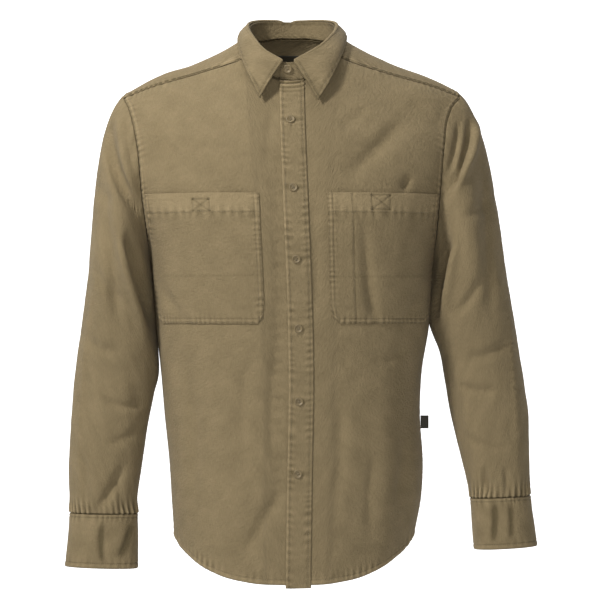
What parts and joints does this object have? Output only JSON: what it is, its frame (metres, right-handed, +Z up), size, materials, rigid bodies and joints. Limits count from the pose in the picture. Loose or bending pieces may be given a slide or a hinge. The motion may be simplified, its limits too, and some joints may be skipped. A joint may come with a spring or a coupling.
{
  "type": "long-sleeve shirt",
  "caption": "Button-front long-sleeve shirt in plain cotton twill, filled out as worn, with a pointed collar, breast pockets, buttoned cuffs and a curved shirttail hem.",
  "frame": {"origin": "the middle of the neck, level with the highest point of the shoulders, where the wearer's neck and shoulders hold the shirt", "axes": "+Z up, -Y the front, +X to the wearer's left, the side whose front laps on top"},
  "size_m": [0.6476, 0.2461, 0.7812],
  "materials": {
    "cotton": "matte khaki-olive cotton twill, washed",
    "button": "satin resin in the cloth's colour",
    "label": "dark woven tape, bare"
  },
  "bodies": {
    "root": {"front_right": "cotton", "front_left": "cotton", "back": "cotton", "yoke": "cotton", "sleeve_right": "cotton", "sleeve_left": "cotton", "sleeve_strip_right": "cotton", "sleeve_strip_left": "cotton", "cuff_right": "cotton", "cuff_left": "cotton", "collar_stand": "cotton", "collar": "cotton", "placket": "cotton", "pocket_right": "cotton", "pocket_left": "cotton", "button_neck": "button", "button_front_1": "button", "button_front_2": "button", "button_front_3": "button", "button_front_4": "button", "button_front_5": "button", "button_front_6": "button", "button_cuff_right": "button", "button_cuff_left": "button", "neck_label": "label", "side_label": "label"}
  },
  "joints": []
}
